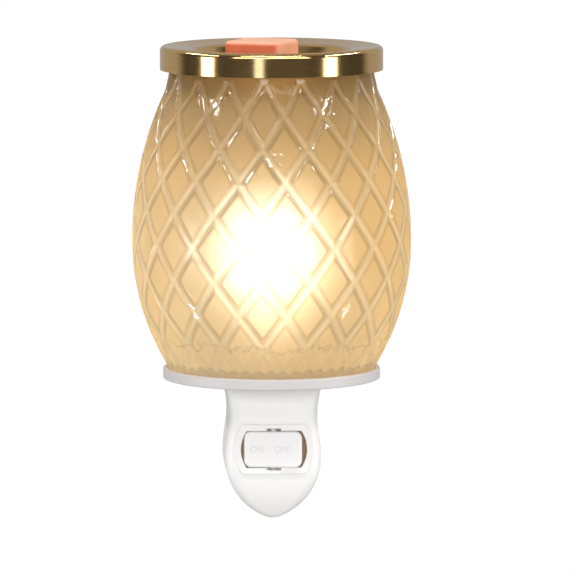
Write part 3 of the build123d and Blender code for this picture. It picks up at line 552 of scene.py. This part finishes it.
def plastic(name, colour, dark, roughness, roll=0.0, painted_glow=0.0):
    """Moulded plastic: roll is the depth of the rolled end, and painted_glow is the strength of a painted
    glow.
    """
    moulded = material(name)
    here = moulded.here()
    fine = moulded.noise(here, GRAIN, 2.0)
    broad = moulded.noise(here, 25.0, 2.0)
    height, depth = fine, GRAIN_DEPTH
    if roll:
        x = moulded.split(here)[0]
        height, depth = fine * (GRAIN_DEPTH / roll) - x.step(ROLL_START, ROLL_END), roll
    return moulded.finish(moulded.principled(
        Base_Color=moulded.blend(broad, dark, colour), Roughness=roughness + (fine - 0.5) * 0.12,
        Emission_Color=colour, Emission_Strength=painted_glow,
        Normal=moulded.bump(height, depth, 0.6)))


print("plastic ready")

# %% Plastics, each with its two tones, its roughness and its pieces
for name, colour, dark, roughness, pieces in (
        ("tray_plastic", (0.63, 0.605, 0.595), (0.60, 0.575, 0.565), 0.45, ["base_tray"]),
        ("housing_plastic", (0.95, 0.94, 0.915), (0.93, 0.92, 0.895), 0.36,
         ["front_shell", "rear_shell", "swivel_plug"]),
        ("switch_plastic", (0.95, 0.94, 0.92), (0.93, 0.92, 0.90), 0.34, ["switch_bezel"]),
        ("holder_plastic", (0.80, 0.77, 0.72), (0.76, 0.73, 0.68), 0.4,
         ["socket_body", "switch_plunger", "contact_block"]),
        ("seal_silicone", (0.70, 0.70, 0.67), (0.66, 0.66, 0.63), 0.6, ["shade_seal"]),
        ("black_insulator", (0.02, 0.02, 0.025), (0.01, 0.01, 0.012), 0.15, ["bulb_insulator"]),
        ("black_wire_skin", (0.02, 0.02, 0.02), (0.03, 0.03, 0.03), 0.45,
         ["wire_live", "wire_switched"]),
        ("white_wire_skin", (0.75, 0.74, 0.72), (0.70, 0.69, 0.67), 0.45, ["wire_neutral"])):
    dress(plastic(name, colour, dark, roughness), *pieces)
    print(name, "on", len(pieces), "solids")
dress(plastic("rocker_plastic", (0.95, 0.94, 0.92), (0.93, 0.92, 0.90), 0.34, roll=0.0009),
      "switch_rocker")
# Painted glow: the switch case shines a little, though it is no lamp.
dress(plastic("brown_plastic", (0.85, 0.68, 0.49), (0.78, 0.60, 0.42), 0.5, painted_glow=0.08),
      "switch_case")

# %% [markdown]
# ## Letters on the rocker
# ON and OFF are moulded into the rocker, 0.06 mm proud. A text object gives the letters as a flat
# mesh. Its points are then set on the rocker's tilted face, once proud and once just under the
# plastic, and walls join the two, so that each word is a closed piece.

# %% The rocker's face
TILT = radians(8)  # the rocker's tilt at rest
outward = np.array([-sin(TILT), -cos(TILT), 0.0])
along = np.array([cos(TILT), -sin(TILT), 0.0])
upward = np.array([0.0, 0.0, 1.0])


def corners(mesh):
    """All points of a mesh, a row of x, y and z for each."""
    flat = np.empty(len(mesh.vertices) * 3)
    mesh.vertices.foreach_get("co", flat)
    return flat.reshape(-1, 3)


rocker_points = corners(nodes["switch_rocker"].data)
face = (rocker_points @ outward).max()
reach_along = rocker_points @ along
middle = (reach_along.max() + reach_along.min()) / 2
print("the rocker is", round(float(np.ptp(reach_along)) * 1000, 1), "mm wide")

# %% Outline of a flat mesh


def open_edges(polygons):
    """The edges of a flat mesh that only one of its faces has, in that face's direction."""
    single = {}
    for polygon in polygons:
        for first, second in zip(polygon, polygon[1:] + polygon[:1]):
            single[(first, second)] = single.pop((second, first), None) is None
    return [edge for edge, is_open in single.items() if is_open]


print("outline helper ready")

# %% Raised ON and OFF
LETTER_SIZE, PROUD, SUNK = 0.0032, 0.00006, -0.00004
# The letters are a darker copy of the rocker's plastic: painted shade on the raised letters.
shaded_letter_plastic = plastic("shaded_letter_plastic", (0.80, 0.79, 0.77), (0.78, 0.77, 0.75), 0.4)
for word, offset in (("ON", -0.0056), ("OFF", 0.0034)):
    curve = bpy.data.curves.new(word, "FONT")
    curve.body, curve.size = word, LETTER_SIZE
    curve.align_x, curve.align_y = "CENTER", "CENTER"
    text = bpy.data.objects.new(word, curve)
    flat_word = bpy.data.meshes.new_from_object(text)
    letters = corners(flat_word)
    count = len(letters)
    fronts = [tuple(polygon.vertices) for polygon in flat_word.polygons]
    walls = [(second, first, first + count, second + count) for first, second in open_edges(fronts)]
    backs = [tuple(point + count for point in reversed(polygon)) for polygon in fronts]
    on_face = (middle + offset + letters[:, :1]) * along + letters[:, 1:2] * upward
    layers = [on_face + (face + height) * outward for height in (PROUD, SUNK)]
    mesh = bpy.data.meshes.new("letters_" + word.lower())
    mesh.from_pydata(np.concatenate(layers).tolist(), [], fronts + walls + backs)
    mesh.materials.append(shaded_letter_plastic)
    piece = add_object("letters_" + word.lower(), mesh)
    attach(piece, "rocker")
    bpy.data.objects.remove(text)
    print(word, "has", len(mesh.polygons), "faces")

# %% [markdown]
# ## Metal fittings
# Contacts are stamped brass, screws and spring are steel, and the bulb's cap is plated. Small metal
# parts are seldom even: noise blends two tones of each metal and roughens it a little.

# %% Metals, each with its two tones, its roughness and its pieces


def metal(name, colour, dark, roughness):
    """Bare metal with a worn look, from one noise."""
    plate = material(name)
    worn = plate.noise(plate.here(), 220.0, 4.0, 0.65)
    return plate.finish(plate.principled(
        Base_Color=plate.blend(worn, dark, colour), Metallic=1.0, Roughness=roughness + worn * 0.15,
        Normal=plate.bump(worn, 0.00003, 0.5)))


for name, colour, dark, roughness, pieces in (
        ("stamped_brass", (0.80, 0.58, 0.28), (0.62, 0.42, 0.18), 0.22,
         ["switch_seesaw", "switch_terminal_line", "switch_terminal_load", "socket_screw_shell",
          "socket_centre_tab", "contact_ring_live", "contact_ring_neutral", "contact_spring_live",
          "contact_spring_neutral", "blade_live", "blade_neutral"]),
        ("zinc_steel", (0.60, 0.60, 0.60), (0.42, 0.42, 0.43), 0.3, ["tray_screws", "shell_screws"]),
        ("spring_steel", (0.55, 0.56, 0.58), (0.40, 0.40, 0.42), 0.25,
         ["switch_spring", "bulb_filament"]),
        ("plated_cap", (0.72, 0.71, 0.68), (0.55, 0.54, 0.52), 0.2,
         ["bulb_cap", "bulb_tip_contact", "bulb_leads"])):
    dress(metal(name, colour, dark, roughness), *pieces)
    print(name, "on", len(pieces), "solids")

# %% [markdown]
# ## The lamp
# The bulb is lit: its frosted envelope glows warm white and is dimmer toward its cap. A glowing
# filament behind frosted glass would be the true way, but it renders slowly and with grain, so the
# envelope itself glows.

# %% Lit bulb
GLOW_FOOT, GLOW_FADE = FOOT + 0.041, 0.018
bulb = material("lit_frosted_bulb")
below = (GLOW_FOOT - bulb.split(bulb.here())[2]).step(0.0, GLOW_FADE)
dress(bulb.finish(bulb.principled(
    Base_Color=(0.9, 0.88, 0.84), Roughness=0.4, Emission_Strength=5.5,
    Emission_Color=bulb.blend(below, (1.0, 0.91, 0.75), (0.42, 0.34, 0.24)))), "bulb_glass")
print("lamp lit")

# %% Clear stem inside the bulb
stem = material("clear_stem")
smoke = stem.noise(stem.here(), 90.0)
dress(stem.finish(stem.principled(
    Base_Color=stem.blend(smoke, (0.9, 0.93, 0.93), (0.8, 0.84, 0.84)),
    Roughness=0.05, IOR=1.5, Transmission_Weight=0.9)), "bulb_stem")
print("stem dressed")

# %% [markdown]
# ## Lamps of the studio
# Metal and polished glass show what stands round them, so the lamps are placed for their mirror
# images. Three tall strips stand at the left, beside the camera and at the right. The brass band
# shows them as bright upright bars. Two broad ones in front, a strong one and a weak low one, light
# the white housing.
#
# Six thin lamps, above, at the sides and below, give the polished glass its small strokes of light.
# They are thin so that they add little to the light on the housing.

# %% Places and lamps
CAMERA_AZIMUTH = radians(-3.0)


def about(azimuth, distance, height):
    """A point round the lamp's axis. Azimuth 0 is the camera's side, and it is counted to the right."""
    turned = CAMERA_AZIMUTH + azimuth
    return Vector((distance * sin(turned), AXIS - distance * cos(turned), height))


def area_lamp(name, place, target, width, height, radiance, colour=WHITE):
    """A flat lamp that looks at a target. Its power is its radiance times pi times its area."""
    light = bpy.data.lights.new(name, "AREA")
    light.shape, light.size, light.size_y = "RECTANGLE", width, height
    light.energy = radiance * pi * width * height
    light.color = colour
    lamp = add_object(name, light)
    lamp.location = place
    lamp.rotation_euler = (Vector(target) - place).to_track_quat("-Z", "Y").to_euler()


print("lamp helpers ready")

# %% Tall strips and broad lamps
STRIP_LEVEL, STRIP_HEIGHT = -0.1, 0.6
for name, azimuth, distance, half_angle, radiance, colour in (
        ("left_strip", radians(-68.5), 1.8, radians(7), 6.0, WHITE),
        ("front_strip", radians(-12.5), 2.8, radians(4.5), 2.5, (0.66, 0.78, 1.0)),
        ("right_strip", radians(63), 1.8, radians(7), 6.0, WHITE)):
    area_lamp(name, about(azimuth, distance, STRIP_LEVEL), (0, AXIS, STRIP_LEVEL),
              2 * distance * tan(half_angle), STRIP_HEIGHT, radiance, colour)
area_lamp("low_front", about(0.0, 1.0, -0.29), (0, AXIS, 0.0), 1.6, 0.25, 0.4)
area_lamp("broad_front", about(0.0, 2.7, 0.64), (0, AXIS, 0.05), 4.4, 0.64, 4.6)
print("strips and broad lamps ready")

# %% Thin lamps for the sparkles
HIGH_REACH, LOW_REACH = 1.7, 0.62  # how far the lamps above and below stand from the belly
for name, azimuth, elevation, width, height, radiance in (
        ("high_front", radians(0), radians(54), 1.7, 0.03, 64.0),
        ("mid_front", radians(4), radians(27), 0.36, 0.02, 70.0),
        ("high_left", radians(-88), radians(37), 1.3, 0.06, 38.0),
        ("high_right", radians(88), radians(37), 1.3, 0.06, 50.0),
        ("low_left", radians(-75), radians(-28), 0.018, 0.10, 34.0),
        ("low_right", radians(72), radians(-28), 0.018, 0.10, 38.0)):
    reach = HIGH_REACH if elevation > 0 else LOW_REACH
    place = about(azimuth, reach * cos(elevation), BELLY + reach * sin(elevation))
    area_lamp(name, place, (0, AXIS, BELLY), width, height, radiance)
print(len(bpy.data.lights), "lamps in all")

# %% [markdown]
# ## Surroundings
# The camera sees plain white. To light and mirrors the surroundings are pale behind the object, dim
# in front of it and lighter overhead, so that the brass keeps its dark and bright sides. Light Path
# tells the two apart.

# %% World
DIM, PALE, OVERHEAD, SEEN = 0.08, 0.46, 0.25, 1.03
sky = Nodes(bpy.data.worlds.new("surroundings"), "ShaderNodeOutputWorld")
direction = sky.split(sky.value(sky.node("ShaderNodeTexCoord"), "Generated"))
level = DIM + direction[1].step(0.2, 0.5) * (PALE - DIM) + direction[2].step(0.7, 0.9) * OVERHEAD
seen = sky.value(sky.node("ShaderNodeLightPath"), "Is Camera Ray") * SEEN
strength = seen.math("MAXIMUM", level)
bpy.context.scene.world = sky.finish(sky.shader("ShaderNodeBackground", Color=WHITE, Strength=strength))
print("world ready")

# %% [markdown]
# ## Floor
# A round pale floor lies well below the warmer, which hangs on a wall outlet in use. The camera sees
# it nearly white, with the object's soft shade on it. From below it lets the view through.

# %% Round floor
FLOOR_RADIUS, FLOOR_LEVEL, FLOOR_CORNERS = 2.2, -0.42, 72
turn = np.arange(FLOOR_CORNERS) * 2 * pi / FLOOR_CORNERS
round_floor = np.stack([FLOOR_RADIUS * np.cos(turn), AXIS + FLOOR_RADIUS * np.sin(turn),
                        np.full(FLOOR_CORNERS, FLOOR_LEVEL)], -1)
floor = bpy.data.meshes.new("studio_floor")
floor.from_pydata(round_floor.tolist(), [], [tuple(range(FLOOR_CORNERS))])
floor_object = add_object("studio_floor", floor)
print("floor", 2 * FLOOR_RADIUS, "m across")

# %% Floor paint
paint = material("floor_paint")
rays = paint.node("ShaderNodeLightPath")
seen = paint.value(rays, "Is Camera Ray").math("MAXIMUM", paint.value(rays, "Is Transmission Ray"))
lit = paint.shader("ShaderNodeBsdfDiffuse", Color=(0.45, 0.45, 0.45))
bright = paint.shader("ShaderNodeEmission", Color=WHITE, Strength=1.0)
painted = paint.mix(seen * 0.85, lit, bright)
underside = paint.value(paint.node("ShaderNodeNewGeometry"), "Backfacing")
unseen = paint.shader("ShaderNodeBsdfTransparent", Color=WHITE)
floor.materials.append(paint.finish(paint.mix(underside, painted, unseen)))
print("floor painted")

# %% [markdown]
# ## Camera
# The photo looks slightly down on the warmer and a little from its left. A long lens keeps the
# upright lines upright, as in the photo.

# %% Camera
ELEVATION = radians(6.5)
DISTANCE, LENS = 2.304, 400.0
AIM = Vector((0, AXIS, FOOT + 0.0297))
ASIDE = 0.0059  # how far the camera stands to the right of the aim
right = Vector((cos(CAMERA_AZIMUTH), sin(CAMERA_AZIMUTH), 0))
back = Vector((sin(CAMERA_AZIMUTH) * cos(ELEVATION),
               -cos(CAMERA_AZIMUTH) * cos(ELEVATION), sin(ELEVATION)))
camera_data = bpy.data.cameras.new("camera")
camera_data.lens, camera_data.sensor_width = LENS, 36.0
camera_data.clip_start, camera_data.clip_end = 0.1, 60.0
camera = add_object("camera", camera_data)
camera.location = AIM + right * ASIDE + back * DISTANCE
camera.rotation_euler = (-back).to_track_quat("-Z", "Y").to_euler()
bpy.context.scene.camera = camera
bpy.context.scene.view_settings.view_transform = "Standard"
print("camera", DISTANCE, "m away")
